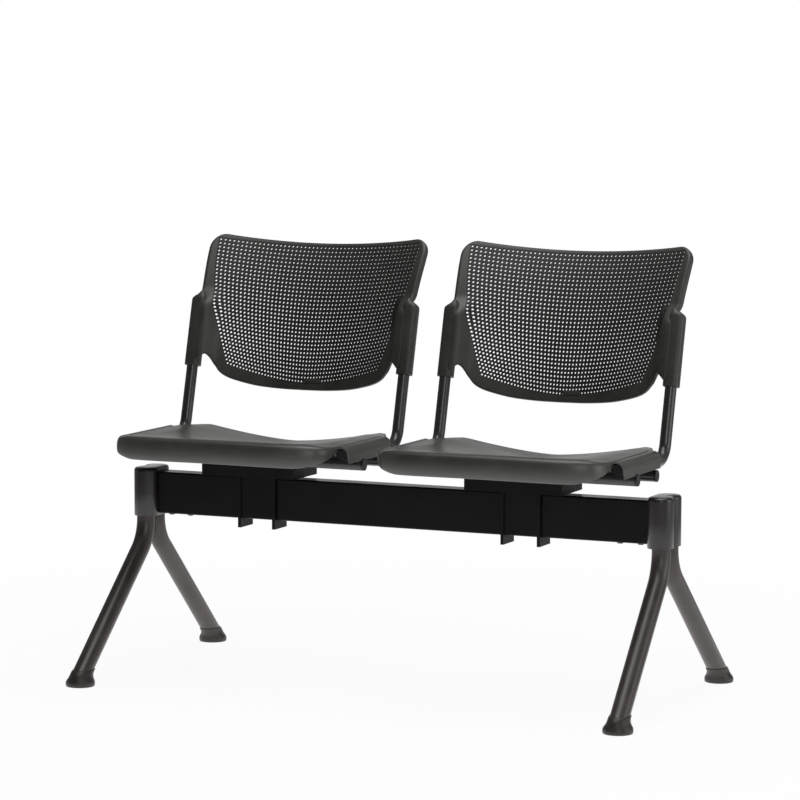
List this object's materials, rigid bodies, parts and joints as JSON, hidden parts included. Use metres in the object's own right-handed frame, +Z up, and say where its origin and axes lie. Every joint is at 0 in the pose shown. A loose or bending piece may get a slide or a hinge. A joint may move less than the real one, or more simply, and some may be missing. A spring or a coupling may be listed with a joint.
{
  "type": "beam seating",
  "caption": "Free-standing beam bench: moulded seats with perforated backs on bent tube frames, clamped to a rectangular steel beam on splayed tube legs.",
  "frame": {"origin": "on the floor, under the middle of the overall bounding box", "axes": "+X along the beam towards the right-hand end as seen from the front, +Y to the rear, +Z up"},
  "size_m": [1.127, 0.5986, 0.8216],
  "materials": {
    "beam_steel": "fine-textured powder coat, black",
    "leg_steel": "satin powder coat, warm dark grey",
    "leg_cover_plastic": "satin moulded polymer, warm dark grey",
    "foot_plastic": "satin moulded polymer, near black",
    "frame_tube_steel": "gloss black powder coat",
    "carrier_steel": "fine-textured powder coat, black",
    "seat_plastic": "fine-grained moulded polypropylene, dark grey",
    "plug_plastic": "moulded polymer, black",
    "screw_steel": "zinc-plated steel"
  },
  "bodies": {
    "root": {"beam": "beam_steel", "beam_joint_left": "carrier_steel", "joint_screws_left": "screw_steel", "leg_cover_left": "leg_cover_plastic", "leg_front_left": "leg_steel", "foot_front_left": "foot_plastic", "leg_rear_left": "leg_steel", "foot_rear_left": "foot_plastic", "beam_joint_right": "carrier_steel", "joint_screws_right": "screw_steel", "leg_cover_right": "leg_cover_plastic", "leg_front_right": "leg_steel", "foot_front_right": "foot_plastic", "leg_rear_right": "leg_steel", "foot_rear_right": "foot_plastic", "beam_saddle_left": "carrier_steel", "seat_carrier_left": "carrier_steel", "saddle_screws_left": "screw_steel", "cross_tube_front_left": "frame_tube_steel", "cross_tube_rear_left": "frame_tube_steel", "cross_tube_plugs_left": "plug_plastic", "side_tube_left_of_left_seat": "frame_tube_steel", "side_tube_right_of_left_seat": "frame_tube_steel", "side_tube_plugs_left": "plug_plastic", "seat_shell_left": "seat_plastic", "seat_screws_left": "screw_steel", "back_shell_left": "seat_plastic", "back_screws_left": "screw_steel", "beam_saddle_right": "carrier_steel", "seat_carrier_right": "carrier_steel", "saddle_screws_right": "screw_steel", "cross_tube_front_right": "frame_tube_steel", "cross_tube_rear_right": "frame_tube_steel", "cross_tube_plugs_right": "plug_plastic", "side_tube_left_of_right_seat": "frame_tube_steel", "side_tube_right_of_right_seat": "frame_tube_steel", "side_tube_plugs_right": "plug_plastic", "seat_shell_right": "seat_plastic", "seat_screws_right": "screw_steel", "back_shell_right": "seat_plastic", "back_screws_right": "screw_steel"}
  },
  "joints": []
}
